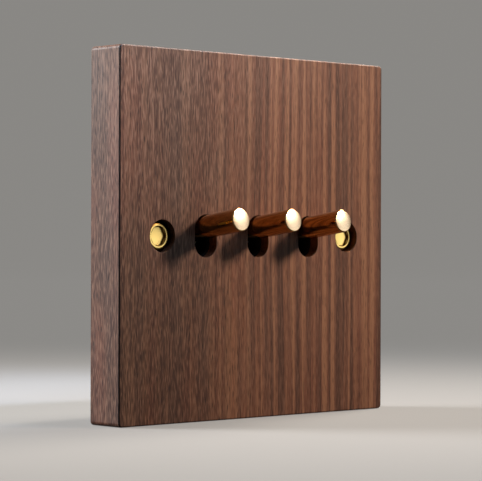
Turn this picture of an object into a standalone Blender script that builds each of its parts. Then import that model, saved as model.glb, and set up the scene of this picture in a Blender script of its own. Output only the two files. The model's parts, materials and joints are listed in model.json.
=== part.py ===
"""Three-gang toggle wall switch: a solid walnut plate with brass levers in front of a rocker mechanism.

The frame: the origin is the middle of the wall plane, where the plate's back meets the wall.
+X is to the right as seen from the room, +Y runs into the wall and +Z is up. Units are metres.
All three levers rest in their upper position.
"""

import math

import bmesh
import bpy
from mathutils import Matrix, Vector

MM = 0.001

# Walnut plate
PLATE_SIDE = 86.0 * MM
PLATE_THICKNESS = 10.0 * MM
PLATE_CORNER_RADIUS = 1.0 * MM
PLATE_ARRIS = 0.4 * MM
FRONT_SKIN = 2.5 * MM  # wood between the room and the pocket for the mechanism

# The three switches, side by side
GANG_PITCH = 16.8 * MM
GANG_STEPS = {"left": -1, "centre": 0, "right": 1}

# Brass levers
LEVER_DIAMETER = 5.4 * MM
LEVER_REACH = 26.6 * MM  # from the pivot to the tip's flat end
LEVER_CHAMFER = 0.2 * MM
LEVER_HALF_THROW = math.radians(8.25)
SLOT_SIDE_GAP = 0.65 * MM  # between a lever and the sides of its slot in the wood
SLOT_END_GAP = 0.18 * MM  # between a lever and the slot's end, at the end of its throw
HOUSING_SLOT_SIDE_GAP = 0.4 * MM
HOUSING_SLOT_END_GAP = 0.3 * MM
TAIL_DIAMETER = 3.0 * MM
TAIL_LENGTH = 4.1 * MM

# Pivot shaft, behind the plate's front face
PIVOT_DEPTH = 14.4 * MM
SHAFT_DIAMETER = 2.0 * MM

# Rockers
ROCKER_HUB_DIAMETER = 6.4 * MM
ROCKER_NOSE_DIAMETER = 7.2 * MM
ROCKER_NOSE_GAP = 2.1 * MM  # from the nose's front end to the housing's front wall
ROCKER_BARREL_DIAMETER = 6.0 * MM
ROCKER_BARREL_REACH = 6.4 * MM
ROCKER_OVERLAP = 1.0 * MM  # how far the nose and the barrel run past the pivot into each other

# Plungers and their springs
PLUNGER_DIAMETER = 3.0 * MM
PLUNGER_START = 3.2 * MM  # from the pivot
PLUNGER_TIP = 8.3 * MM  # from the pivot
PLUNGER_CUP_DIAMETER = 2.0 * MM
PLUNGER_TIP_WALL = 1.4 * MM
BARREL_BORE_START = 2.2 * MM  # from the pivot
SPRING_WIRE = 0.3 * MM
SPRING_DIAMETER = 1.5 * MM  # at the middle of the wire
SPRING_TURNS = 4

# Contact blades, which rock on the common contact
BLADE_GAP = 0.15 * MM  # between the plunger's tip and the blade, as the lever passes its middle
BLADE_WIDTH = 5.0 * MM
BLADE_HEIGHT = 13.2 * MM
BLADE_THICKNESS = 0.7 * MM
BLADE_RIB_DIAMETER = 1.2 * MM
BLADE_HALF_THROW = math.radians(6.6)
CONTACT_SPACING = 10.8 * MM  # between the blade's two contact buttons
MOVING_BUTTON_DIAMETER = 2.4 * MM
MOVING_BUTTON_HEIGHT = 0.6 * MM
CONTACT_GAP = 0.15 * MM  # left between closed buttons, at their nearest edge

# Fixed contacts, with their terminal blocks
STRIP_THICKNESS = 0.6 * MM
FIXED_BUTTON_DIAMETER = 2.6 * MM
FIXED_BUTTON_HEIGHT = 0.4 * MM
STRIP_WIDTH = 4.0 * MM
PAD_HEIGHT = 3.4 * MM
ARM_WIDTH = 2.4 * MM
SADDLE_HEIGHT = 3.0 * MM
SADDLE_EAR = 0.6 * MM
BLOCK_WIDTH = 5.4 * MM
BLOCK_LENGTH = 7.2 * MM
BLOCK_DEPTH = 7.1 * MM
BLOCK_OFFSET = 3.4 * MM  # of a lower block from the middle of its gang
WIRE_BORE_DIAMETER = 2.8 * MM
WIRE_BORE_SETBACK = 4.5 * MM  # of the wire bore from the block's rear face
TERMINAL_SCREW_DIAMETER = 2.5 * MM
TERMINAL_HEAD_DIAMETER = 4.4 * MM
TERMINAL_HEAD_HEIGHT = 1.6 * MM

# Moulded housing and terminal base
NOSE_HEIGHT = 24.0 * MM
BODY_CORNER_RADIUS = 1.5 * MM
HOUSING_WALL = 1.5 * MM
NOSE_SIDE_WALL = 1.0 * MM
BODY_LEDGE = 1.2 * MM  # how far the body's sides stand out beyond the nose's
HOUSING_BEHIND_PIVOT = 2.6 * MM
BASE_BACK_WALL = 2.1 * MM
SHAFT_SEAT = 1.2 * MM  # how far the shaft runs into the housing's side walls
CHAMBER_WIDTH = 12.8 * MM
CHAMBER_HEIGHT = 21.4 * MM
CHAMBER_WALL = 1.3 * MM  # between a chamber and its terminal pockets
BASE_OUTER_WALL = 2.2 * MM  # beyond the terminal pockets
WIRE_ENTRY_DIAMETER = 3.8 * MM

# Steel mounting frame
FRAME_WIDTH = 72.0 * MM
FRAME_HEIGHT = 56.0 * MM
FRAME_THICKNESS = 1.2 * MM
FRAME_CORNER_RADIUS = 3.0 * MM
FRAME_SETBACK = 0.2 * MM  # of the frame's rear face from the wall plane
FRAME_SCREW_X = 32.5 * MM
FRAME_SCREW_Z = 23.5 * MM

# Fixing screws to the wall box
FIXING_SPACING = 60.3 * MM
FIXING_DIAMETER = 4.0 * MM
FIXING_LENGTH = 14.0 * MM  # under the head
FIXING_HEAD_DIAMETER = 7.0 * MM
FIXING_HEAD_HEIGHT = 5.0 * MM
FIXING_RECESS = 1.4 * MM  # of the head's face below the plate's face
FIXING_CHAMFER = 0.3 * MM
FIXING_FACE_DIAMETER = 5.3 * MM  # of the head's flat face, inside its rounded shoulder
FIXING_SHOULDER = 0.9 * MM  # height of that shoulder
FIXING_SHOULDER_STEPS = 4
SOCKET_ACROSS_FLATS = 4.0 * MM
SOCKET_DEPTH = 0.7 * MM  # of its straight walls
SOCKET_DISH_DEPTH = 0.15 * MM  # of the slight hollow in its floor
SOCKET_DISH_FLAT = 2.4 * MM  # across the middle of that hollow
SOCKET_MOUTH_DIAMETER = 4.7 * MM
SOCKET_MOUTH_CONE = 0.25 * MM

# Small screws
WOOD_SCREW_DIAMETER = 2.2 * MM
WOOD_SCREW_LENGTH = 6.5 * MM
WOOD_HEAD_DIAMETER = 4.8 * MM
SMALL_SCREW_DIAMETER = 2.0 * MM
SMALL_HEAD_DIAMETER = 3.8 * MM
HOUSING_SCREW_SETBACK = 1.0 * MM  # of its tip from the housing's rear face
HOUSING_SCREW_Z = 14.0 * MM
BASE_SCREW_Z = 18.5 * MM
BASE_HEAD_HEIGHT = 1.6 * MM
DRIVE_WIDTH = 0.6 * MM
DRIVE_DEPTH = 0.7 * MM

# Fits
SEAT_GAP = 0.3 * MM  # between pieces that rest on each other
SIDE_GAP = 0.25 * MM  # around a screw or a head in its hole
RUN_GAP = 0.15 * MM  # around a shaft, a plunger or a thread
POCKET_GAP = 0.5 * MM  # around the housing in the wood
OVERCUT = 1.0 * MM  # how far a cutter runs past a face
WELD = 0.01 * MM

# Places that follow from those sizes, along Y
FRONT_Y = -PLATE_THICKNESS
POCKET_FLOOR_Y = FRONT_Y + FRONT_SKIN
NOSE_FRONT_Y = POCKET_FLOOR_Y + SEAT_GAP
PIVOT_Y = FRONT_Y + PIVOT_DEPTH
ROCKER_NOSE_REACH = PIVOT_Y - NOSE_FRONT_Y - HOUSING_WALL - ROCKER_NOSE_GAP
FRAME_REAR_Y = -FRAME_SETBACK
FRAME_FRONT_Y = FRAME_REAR_Y - FRAME_THICKNESS
REBATE_FLOOR_Y = FRAME_FRONT_Y - SEAT_GAP
BODY_FRONT_Y = FRAME_REAR_Y + SEAT_GAP
HOUSING_REAR = PIVOT_Y + HOUSING_BEHIND_PIVOT
BASE_FRONT_Y = HOUSING_REAR + SEAT_GAP
FIXING_SEAT_Y = FRONT_Y + FIXING_RECESS + FIXING_HEAD_HEIGHT
BLADE_AXIS_Y = PIVOT_Y + PLUNGER_TIP + BLADE_GAP + BLADE_THICKNESS
CLOSED_EDGE = CONTACT_SPACING / 2 + MOVING_BUTTON_DIAMETER / 2
BUTTON_FACE_Y = (
    BLADE_AXIS_Y
    + MOVING_BUTTON_HEIGHT * math.cos(BLADE_HALF_THROW)
    + CLOSED_EDGE * math.sin(BLADE_HALF_THROW)
    + CONTACT_GAP
)
STRIP_FRONT_Y = BUTTON_FACE_Y + FIXED_BUTTON_HEIGHT
STRIP_REAR_Y = STRIP_FRONT_Y + STRIP_THICKNESS
BLOCK_REAR_Y = STRIP_REAR_Y + 0.05 * MM
BASE_FLOOR_Y = STRIP_REAR_Y + SEAT_GAP
BASE_REAR = BASE_FLOOR_Y + BASE_BACK_WALL
HOUSING_SCREW_LENGTH = HOUSING_REAR - HOUSING_SCREW_SETBACK - FRAME_FRONT_Y
BASE_SCREW_SEAT_Y = BASE_REAR - BASE_HEAD_HEIGHT
BASE_SCREW_END_Y = BODY_FRONT_Y + HOUSING_WALL
BASE_SCREW_LENGTH = BASE_SCREW_SEAT_Y - BASE_SCREW_END_Y - SEAT_GAP
WIRE_Y = BLOCK_REAR_Y - WIRE_BORE_SETBACK

# Places along X and Z
FIXING_X = FIXING_SPACING / 2
BETWEEN_GANGS_X = GANG_PITCH / 2
NOSE_WIDTH = 2 * GANG_PITCH + CHAMBER_WIDTH + 2 * NOSE_SIDE_WALL
BODY_WIDTH = NOSE_WIDTH + 2 * BODY_LEDGE
POCKET_INNER_Z = CHAMBER_HEIGHT / 2 + CHAMBER_WALL
BLOCK_INNER_Z = POCKET_INNER_Z + SEAT_GAP
BLOCK_OUTER_Z = BLOCK_INNER_Z + BLOCK_LENGTH
BODY_HEIGHT = 2 * (BLOCK_OUTER_Z + SEAT_GAP + BASE_OUTER_WALL)
TERMINAL_SCREW_Z = (BLOCK_INNER_Z + BLOCK_OUTER_Z) / 2
SHAFT_LENGTH = 2 * GANG_PITCH + CHAMBER_WIDTH + 2 * SHAFT_SEAT
# Each terminal: its block's offset from the middle of the gang, and its side of the base
TERMINALS = {"upper": (0.0, 1), "lower": (-BLOCK_OFFSET, -1), "common": (BLOCK_OFFSET, -1)}



def slot_height(depth, end_gap):
    """Height of a slot that the lever swings in, at that distance in front of the pivot."""
    radius = LEVER_DIAMETER / 2 / math.cos(LEVER_HALF_THROW)
    return 2 * (depth * math.tan(LEVER_HALF_THROW) + radius + end_gap)


# Name: sRGB hex colour, metallic, roughness
FINISHES = {
    "walnut": ("5F4030", 0.0, 0.55),
    "polished_brass": ("C9A24A", 1.0, 0.18),
    "contact_brass": ("C4A052", 1.0, 0.35),
    "zinc_steel": ("B4B8BC", 1.0, 0.35),
    "spring_steel": ("8E9296", 1.0, 0.25),
    "black_plastic": ("1C1C1D", 0.0, 0.45),
    "white_plastic": ("D9D6CC", 0.0, 0.40),
}


def linear(channel):
    """One sRGB channel from 0 to 1 as a linear value."""
    if channel <= 0.04045:
        return channel / 12.92
    return ((channel + 0.055) / 1.055) ** 2.4


def finish(name):
    """The material of that name, made once."""
    material = bpy.data.materials.get(name)
    if material:
        return material
    code, metallic, roughness = FINISHES[name]
    red, green, blue = (linear(int(code[i : i + 2], 16) / 255) for i in (0, 2, 4))
    material = bpy.data.materials.new(name)
    material.use_nodes = True
    surface = material.node_tree.nodes["Principled BSDF"]
    surface.inputs["Base Color"].default_value = (red, green, blue, 1.0)
    surface.inputs["Metallic"].default_value = metallic
    surface.inputs["Roughness"].default_value = roughness
    return material


def clear_scene():
    for obj in list(bpy.data.objects):
        bpy.data.objects.remove(obj)


def new_collection(name):
    collection = bpy.data.collections.new(name)
    bpy.context.scene.collection.children.link(collection)
    return collection


clear_scene()
SWITCH = new_collection("Toggle wall switch")
CUTTERS = new_collection("Cutters")


def mesh_object(name, shape):
    """A bmesh as an object in the switch's collection."""
    bmesh.ops.recalc_face_normals(shape, faces=shape.faces)
    mesh = bpy.data.meshes.new(name)
    shape.to_mesh(mesh)
    shape.free()
    obj = bpy.data.objects.new(name, mesh)
    SWITCH.objects.link(obj)
    return obj


def block(name, low, high, corner_radius=0.0, corner_steps=3):
    """A box between two corners; corner_radius rounds the four edges that run along Y."""
    low, high = Vector(low), Vector(high)
    shape = bmesh.new()
    bmesh.ops.create_cube(shape, size=1.0)
    bmesh.ops.scale(shape, vec=high - low, verts=shape.verts)
    bmesh.ops.translate(shape, vec=(low + high) / 2, verts=shape.verts)
    if corner_radius:
        along_y = [e for e in shape.edges if abs((e.verts[0].co - e.verts[1].co).y) > WELD]
        bmesh.ops.bevel(
            shape,
            geom=along_y,
            offset=corner_radius,
            segments=corner_steps,
            profile=0.5,
            affect="EDGES",
            clamp_overlap=True,
        )
    return mesh_object(name, shape)


def rod(name, start, end, diameter, sides=24, end_diameter=None, turn=0.0):
    """A cylinder, or a cone if end_diameter is given, from one point to another."""
    start, end = Vector(start), Vector(end)
    along = end - start
    far = diameter if end_diameter is None else end_diameter
    shape = bmesh.new()
    bmesh.ops.create_cone(
        shape,
        cap_ends=True,
        segments=sides,
        radius1=diameter / 2,
        radius2=far / 2,
        depth=along.length,
    )
    aim = along.to_track_quat("Z", "Y").to_matrix().to_4x4() @ Matrix.Rotation(turn, 4, "Z")
    bmesh.ops.transform(shape, matrix=Matrix.Translation((start + end) / 2) @ aim, verts=shape.verts)
    return mesh_object(name, shape)


def across(name, centre, length, diameter, sides=24):
    """A cylinder of that length along X, about a centre."""
    half = Vector((length / 2, 0, 0))
    centre = Vector(centre)
    return rod(name, centre - half, centre + half, diameter, sides)


def turned(name, profile, steps):
    """A solid of revolution about its own Z axis, from (radius, height) points down its outside."""
    shape = bmesh.new()
    points = [shape.verts.new((radius, 0.0, height)) for radius, height in profile]
    for upper, lower in zip(points, points[1:]):
        shape.edges.new((upper, lower))
    obj = mesh_object(name, shape)
    screw = obj.modifiers.new("Turn", "SCREW")
    screw.axis = "Z"
    screw.steps = steps
    screw.render_steps = steps
    screw.use_merge_vertices = True
    screw.merge_threshold = WELD
    screw.use_smooth_shade = False
    return obj


def aimed(obj, location, direction):
    """Puts an object's own Z axis along a direction, with its origin at a location."""
    obj.rotation_mode = "QUATERNION"
    obj.rotation_quaternion = Vector(direction).to_track_quat("Z", "X")
    obj.location = location
    return obj


def plate_outline(name, points, front_y, thickness):
    """A flat stamping: an outline of (x, z) points, standing up from front_y towards +Y."""
    curve = bpy.data.curves.new(name, "CURVE")
    curve.dimensions = "2D"
    curve.fill_mode = "BOTH"
    curve.extrude = thickness / 2
    spline = curve.splines.new("POLY")
    spline.points.add(len(points) - 1)
    for place, (x, z) in zip(spline.points, points):
        place.co = (x, z, 0.0, 1.0)
    spline.use_cyclic_u = True
    guide = bpy.data.objects.new(name + "_outline", curve)
    SWITCH.objects.link(guide)
    guide.rotation_euler = (math.pi / 2, 0.0, 0.0)
    guide.location = (0.0, front_y + thickness / 2, 0.0)
    bpy.context.view_layer.update()
    graph = bpy.context.evaluated_depsgraph_get()
    mesh = bpy.data.meshes.new_from_object(guide.evaluated_get(graph))
    mesh.transform(guide.matrix_world)
    bpy.data.objects.remove(guide)
    shape = bmesh.new()
    shape.from_mesh(mesh)
    bmesh.ops.remove_doubles(shape, verts=shape.verts, dist=WELD)
    return mesh_object(name, shape)


def hide_helper(helper, target):
    """Moves a cutter out of the switch, keeping it where its target is."""
    SWITCH.objects.unlink(helper)
    CUTTERS.objects.link(helper)
    helper.hide_render = True
    helper.display_type = "WIRE"
    helper.parent = target.parent


def combine(target, helpers, operation):
    for helper in helpers:
        step = target.modifiers.new(helper.name, "BOOLEAN")
        step.operation = operation
        step.solver = "EXACT"
        step.object = helper
        hide_helper(helper, target)
    return target


def cut(target, *cutters):
    return combine(target, cutters, "DIFFERENCE")


def join(target, *additions):
    return combine(target, additions, "UNION")


def shade(obj, name):
    obj.data.materials.clear()
    obj.data.materials.append(finish(name))
    return obj


def carried(obj, carrier):
    """Parents an object and its Boolean helpers to an empty, whose own frame they are modelled in."""
    helpers = [step.object for step in obj.modifiers if step.type == "BOOLEAN"]
    for part in [obj, *helpers]:
        part.parent = carrier
    return obj


def axis_empty(name, location, turn_about_x, parent=None):
    empty = bpy.data.objects.new(name, None)
    SWITCH.objects.link(empty)
    empty.location = location
    empty.rotation_euler = (turn_about_x, 0.0, 0.0)
    empty.parent = parent
    return empty


def gang_x(gang):
    return GANG_STEPS[gang] * GANG_PITCH


def terminal_place(gang, terminal):
    """(x, side of the base) of a terminal block's middle."""
    offset, side = TERMINALS[terminal]
    return gang_x(gang) + offset, side


def stadium(name, x, width, height, front_y, rear_y, steps=8):
    """An upright slot with round ends, as a cutter along Y."""
    low, high = (x - width / 2, front_y, -height / 2), (x + width / 2, rear_y, height / 2)
    return block(name, low, high, width / 2 - WELD, steps)


# The wooden front


def face_plate():
    half = PLATE_SIDE / 2
    plate = block("face_plate", (-half, FRONT_Y, -half), (half, 0.0, half), PLATE_CORNER_RADIUS, 4)
    arris = plate.modifiers.new("Arris", "BEVEL")
    arris.width = PLATE_ARRIS
    arris.segments = 2
    arris.limit_method = "ANGLE"
    arris.angle_limit = math.radians(40)
    for gang in GANG_STEPS:
        cut(plate, stadium(
            f"lever_slot_{gang}", gang_x(gang), LEVER_DIAMETER + 2 * SLOT_SIDE_GAP,
            slot_height(PIVOT_DEPTH, SLOT_END_GAP), FRONT_Y - OVERCUT, POCKET_FLOOR_Y + OVERCUT,
        ))
    pocket_x = NOSE_WIDTH / 2 + POCKET_GAP
    pocket_z = NOSE_HEIGHT / 2 + POCKET_GAP
    cut(plate, block(
        "mechanism_pocket", (-pocket_x, POCKET_FLOOR_Y, -pocket_z), (pocket_x, OVERCUT, pocket_z),
        FRAME_CORNER_RADIUS,
    ))
    rebate_x = FRAME_WIDTH / 2 + SEAT_GAP
    rebate_z = FRAME_HEIGHT / 2 + SEAT_GAP
    cut(plate, block(
        "frame_rebate", (-rebate_x, REBATE_FLOOR_Y, -rebate_z), (rebate_x, OVERCUT, rebate_z),
        FRAME_CORNER_RADIUS + SEAT_GAP,
    ))
    for side, x in (("left", -FIXING_X), ("right", FIXING_X)):
        cut(
            plate,
            rod(
                f"counterbore_{side}", (x, FRONT_Y - OVERCUT, 0), (x, FIXING_SEAT_Y + SEAT_GAP, 0),
                FIXING_HEAD_DIAMETER + 2 * SIDE_GAP, 32,
            ),
            rod(
                f"fixing_hole_{side}", (x, FRONT_Y, 0), (x, OVERCUT, 0),
                FIXING_DIAMETER + 2 * SIDE_GAP, 16,
            ),
        )
    for place, x, z in corner_places(FRAME_SCREW_X, FRAME_SCREW_Z):
        end_y = FRAME_REAR_Y - WOOD_SCREW_LENGTH - SEAT_GAP
        cut(plate, rod(
            f"pilot_hole_{place}", (x, OVERCUT, z), (x, end_y, z), WOOD_SCREW_DIAMETER + 2 * SIDE_GAP, 12,
        ))
    return shade(plate, "walnut")


def corner_places(x, z):
    """(name, x, z) of the four places of a rectangular pattern."""
    return [
        (f"{row}_{column}", x * across_x, z * up)
        for row, up in (("top", 1), ("bottom", -1))
        for column, across_x in (("left", -1), ("right", 1))
    ]


def fixing_screw(side, x):
    """A machine screw with a tall, round-shouldered head and a shallow hexagon socket."""
    head = FIXING_HEAD_DIAMETER / 2
    shank = FIXING_DIAMETER / 2
    top = FIXING_HEAD_HEIGHT
    face = FIXING_FACE_DIAMETER / 2
    turns = [math.pi / 2 * step / FIXING_SHOULDER_STEPS for step in range(FIXING_SHOULDER_STEPS + 1)]
    shoulder = [
        (face + (head - face) * math.sin(a), top - FIXING_SHOULDER * (1 - math.cos(a))) for a in turns
    ]
    screw = turned(
        f"{side}_fixing_screw",
        [
            (0.0, top),
            *shoulder,
            (head, 0.0),
            (shank, 0.0),
            (shank, -FIXING_LENGTH + FIXING_CHAMFER),
            (shank - FIXING_CHAMFER, -FIXING_LENGTH),
            (0.0, -FIXING_LENGTH),
        ],
        24,
    )
    aimed(screw, (x, FIXING_SEAT_Y, 0.0), (0, -1, 0))
    face_y = FIXING_SEAT_Y - FIXING_HEAD_HEIGHT
    corners = SOCKET_ACROSS_FLATS / math.cos(math.pi / 6)
    cut(
        screw,
        rod(
            f"socket_{side}", (x, face_y - OVERCUT, 0), (x, face_y + SOCKET_DEPTH, 0), corners, 6,
            turn=math.pi / 6,
        ),
        rod(
            f"socket_dish_{side}", (x, face_y + SOCKET_DEPTH - WELD, 0),
            (x, face_y + SOCKET_DEPTH + SOCKET_DISH_DEPTH, 0), SOCKET_ACROSS_FLATS - 2 * WELD, 24,
            end_diameter=SOCKET_DISH_FLAT,
        ),
        rod(
            f"socket_mouth_{side}", (x, face_y - SOCKET_MOUTH_CONE, 0), (x, face_y + SOCKET_MOUTH_CONE, 0),
            SOCKET_MOUTH_DIAMETER + 2 * SOCKET_MOUTH_CONE, 24,
            end_diameter=SOCKET_MOUTH_DIAMETER - 2 * SOCKET_MOUTH_CONE,
        ),
    )
    return shade(screw, "polished_brass")


# Moving pieces of one gang, modelled about the pivot with the lever level


def lever(gang, carrier):
    body = LEVER_DIAMETER / 2
    tail = TAIL_DIAMETER / 2
    start = ROCKER_NOSE_REACH + SEAT_GAP
    piece = turned(
        f"{gang}_lever",
        [
            (0.0, LEVER_REACH),
            (body - LEVER_CHAMFER, LEVER_REACH),
            (body, LEVER_REACH - LEVER_CHAMFER),
            (body, start),
            (tail, start),
            (tail, start - TAIL_LENGTH),
            (0.0, start - TAIL_LENGTH),
        ],
        24,
    )
    aimed(piece, (0, 0, 0), (0, -1, 0))
    return carried(shade(piece, "polished_brass"), carrier)


def rocker(gang, carrier):
    hub_length = CHAMBER_WIDTH - 2 * SEAT_GAP
    piece = across(f"{gang}_rocker", (0, 0, 0), hub_length, ROCKER_HUB_DIAMETER, 20)
    join(
        piece,
        rod(
            f"rocker_nose_{gang}", (0, ROCKER_OVERLAP, 0), (0, -ROCKER_NOSE_REACH, 0),
            ROCKER_NOSE_DIAMETER, 20,
        ),
        rod(
            f"rocker_barrel_{gang}", (0, -ROCKER_OVERLAP, 0), (0, ROCKER_BARREL_REACH, 0),
            ROCKER_BARREL_DIAMETER, 16,
        ),
    )
    tail_end = ROCKER_NOSE_REACH + SEAT_GAP - TAIL_LENGTH - SEAT_GAP
    cut(
        piece,
        across(f"shaft_bore_{gang}", (0, 0, 0), hub_length + 2 * OVERCUT, SHAFT_DIAMETER + 2 * RUN_GAP, 12),
        rod(
            f"tail_bore_{gang}", (0, -tail_end, 0), (0, -ROCKER_NOSE_REACH - OVERCUT, 0),
            TAIL_DIAMETER + 2 * RUN_GAP, 12,
        ),
        rod(
            f"plunger_bore_{gang}", (0, BARREL_BORE_START, 0), (0, ROCKER_BARREL_REACH + OVERCUT, 0),
            PLUNGER_DIAMETER + 2 * RUN_GAP, 16,
        ),
    )
    return carried(shade(piece, "white_plastic"), carrier)


def plunger(gang, carrier):
    """A thimble with a round tip; its open end holds the spring. Its heights are distances from the pivot."""
    radius = PLUNGER_DIAMETER / 2
    cup = PLUNGER_CUP_DIAMETER / 2
    tip_centre = PLUNGER_TIP - radius
    tip_steps = 4
    angles = [math.pi / 2 * step / tip_steps for step in range(tip_steps + 1)]
    dome = [(radius * math.sin(a), tip_centre + radius * math.cos(a)) for a in angles]
    cup_floor = PLUNGER_TIP - PLUNGER_TIP_WALL
    piece = turned(
        f"{gang}_plunger",
        [*dome, (radius, PLUNGER_START), (cup, PLUNGER_START), (cup, cup_floor), (0.0, cup_floor)],
        16,
    )
    aimed(piece, (0, 0, 0), (0, 1, 0))
    return carried(shade(piece, "white_plastic"), carrier)


def plunger_spring(gang, carrier):
    start = BARREL_BORE_START + SPRING_WIRE / 2 + RUN_GAP
    end = PLUNGER_TIP - PLUNGER_TIP_WALL - SPRING_WIRE / 2 - RUN_GAP
    per_turn = 8
    count = SPRING_TURNS * per_turn
    curve = bpy.data.curves.new(f"{gang}_plunger_spring", "CURVE")
    curve.dimensions = "3D"
    curve.bevel_depth = SPRING_WIRE / 2
    curve.bevel_resolution = 2
    curve.use_fill_caps = True
    spline = curve.splines.new("POLY")
    spline.points.add(count)
    for i, place in enumerate(spline.points):
        angle = 2 * math.pi * i / per_turn
        radius = SPRING_DIAMETER / 2
        y = start + (end - start) * i / count
        place.co = (radius * math.cos(angle), y, radius * math.sin(angle), 1.0)
    piece = bpy.data.objects.new(curve.name, curve)
    SWITCH.objects.link(piece)
    piece.parent = carrier
    return shade(piece, "spring_steel")


def contact_blade(gang):
    """A flat see-saw with a rib behind its middle and a contact button near each end."""
    x = gang_x(gang)
    carrier = axis_empty(f"{gang}_blade_axis", (x, BLADE_AXIS_Y, 0.0), BLADE_HALF_THROW)
    half_x, half_z = BLADE_WIDTH / 2, BLADE_HEIGHT / 2
    piece = block(f"{gang}_contact_blade", (-half_x, -BLADE_THICKNESS, -half_z), (half_x, 0.0, half_z))
    buried = BLADE_THICKNESS / 2
    join(piece, across(f"blade_rib_{gang}", (0, 0, 0), BLADE_WIDTH - 2 * SIDE_GAP, BLADE_RIB_DIAMETER, 12))
    for side in (-1, 1):
        z = side * CONTACT_SPACING / 2
        join(piece, rod(
            f"moving_button_{gang}_{side:+d}", (0, -buried, z), (0, MOVING_BUTTON_HEIGHT, z),
            MOVING_BUTTON_DIAMETER, 12,
        ))
    return carried(shade(piece, "contact_brass"), carrier)


def moving_gang(gang):
    pivot = axis_empty(f"{gang}_pivot", (gang_x(gang), PIVOT_Y, 0.0), -LEVER_HALF_THROW)
    lever(gang, pivot)
    rocker(gang, pivot)
    plunger(gang, pivot)
    plunger_spring(gang, pivot)
    contact_blade(gang)


# Fixed contacts of one gang


def terminal_block(piece, gang, terminal):
    """Joins the wire clamp's block to a contact strip, then bores it for the wire and the screw."""
    x, side = terminal_place(gang, terminal)
    key = f"{gang}_{terminal}"
    ends = sorted((side * BLOCK_INNER_Z, side * BLOCK_OUTER_Z))
    join(piece, block(
        f"block_{key}",
        (x - BLOCK_WIDTH / 2, BLOCK_REAR_Y - BLOCK_DEPTH, ends[0]),
        (x + BLOCK_WIDTH / 2, BLOCK_REAR_Y, ends[1]),
    ))
    screw_z = side * TERMINAL_SCREW_Z
    return cut(
        piece,
        rod(
            f"wire_bore_{key}", (x, WIRE_Y, ends[0] - OVERCUT), (x, WIRE_Y, ends[1] + OVERCUT),
            WIRE_BORE_DIAMETER, 12,
        ),
        rod(
            f"screw_bore_{key}", (x, WIRE_Y, screw_z), (x, BLOCK_REAR_Y + OVERCUT, screw_z),
            TERMINAL_SCREW_DIAMETER + 2 * RUN_GAP, 12,
        ),
    )


def fixed_button(gang, side):
    x, z = gang_x(gang), side * CONTACT_SPACING / 2
    buried_y = STRIP_FRONT_Y + STRIP_THICKNESS / 2
    return rod(
        f"fixed_button_{gang}_{side:+d}", (x, BUTTON_FACE_Y, z), (x, buried_y, z), FIXED_BUTTON_DIAMETER, 12,
    )


def switched_contact(gang, terminal):
    """The upper or the lower contact: a pad under the blade's button, and a strip out to its block."""
    middle = gang_x(gang)
    x, side = terminal_place(gang, terminal)
    half = STRIP_WIDTH / 2
    pad_inner = CONTACT_SPACING / 2 - PAD_HEIGHT / 2
    pad_outer = CONTACT_SPACING / 2 + PAD_HEIGHT / 2
    bend = pad_outer + abs(x - middle) / 2
    strip_end = BLOCK_INNER_Z + STRIP_THICKNESS
    outline = [(middle - half, pad_inner), (middle + half, pad_inner), (middle + half, pad_outer)]
    if x != middle:
        outline.append((x + half, bend))
    outline += [(x + half, strip_end), (x - half, strip_end)]
    if x != middle:
        outline.append((x - half, bend))
        outline.append((middle - half, pad_outer - PAD_HEIGHT / 2))
    outline = [(px, side * pz) for px, pz in outline]
    piece = plate_outline(f"{gang}_{terminal}_contact", outline, STRIP_FRONT_Y, STRIP_THICKNESS)
    join(piece, fixed_button(gang, side))
    return shade(terminal_block(piece, gang, terminal), "contact_brass")


def common_contact(gang):
    """The saddle that the blade rocks in, with an arm down to its own block."""
    x = gang_x(gang)
    ear_inner = BLADE_WIDTH / 2 + SEAT_GAP
    ear_outer = ear_inner + SADDLE_EAR
    foot = ear_outer + SIDE_GAP
    half_z = SADDLE_HEIGHT / 2
    arm_right = BLOCK_OFFSET + BLOCK_WIDTH / 2 - WELD * 10
    arm_left = arm_right - ARM_WIDTH
    strip_end = BLOCK_INNER_Z + STRIP_THICKNESS
    outline = [
        (x - foot, half_z),
        (x + arm_right, half_z),
        (x + arm_right, -strip_end),
        (x + arm_left, -strip_end),
        (x + arm_left, -half_z),
        (x - foot, -half_z),
    ]
    piece = plate_outline(f"{gang}_common_contact", outline, STRIP_FRONT_Y, STRIP_THICKNESS)
    buried_y = STRIP_FRONT_Y + STRIP_THICKNESS / 2
    saddle_x = BLADE_WIDTH / 2 - SIDE_GAP
    saddle_z = half_z - WELD * 10
    saddle_y = BLADE_AXIS_Y + 2 * WELD + saddle_z * math.sin(BLADE_HALF_THROW) + SIDE_GAP
    join(piece, block(
        f"saddle_{gang}", (x - saddle_x, saddle_y, -saddle_z), (x + saddle_x, buried_y, saddle_z),
    ))
    ear_front = BLADE_AXIS_Y - BLADE_THICKNESS
    for side in (-1, 1):
        edges = sorted((x + side * ear_inner, x + side * ear_outer))
        join(piece, block(
            f"saddle_ear_{gang}_{side:+d}",
            (edges[0], ear_front, -saddle_z + SIDE_GAP),
            (edges[1], buried_y, saddle_z - SIDE_GAP),
        ))
    cut(piece, across(
        f"saddle_groove_{gang}", (x, BLADE_AXIS_Y, 0), BLADE_WIDTH + SIDE_GAP,
        BLADE_RIB_DIAMETER + 2 * SEAT_GAP, 12,
    ))
    return shade(terminal_block(piece, gang, "common"), "contact_brass")


def slotted_head(screw, key, x, z, face_y, diameter):
    """Cuts a straight drive slot into a screw's face, which looks towards +Y."""
    half = diameter / 2 + OVERCUT
    return cut(screw, block(
        f"drive_slot_{key}", (x - half, face_y - DRIVE_DEPTH, z - DRIVE_WIDTH / 2),
        (x + half, face_y + OVERCUT, z + DRIVE_WIDTH / 2),
    ))


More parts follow.
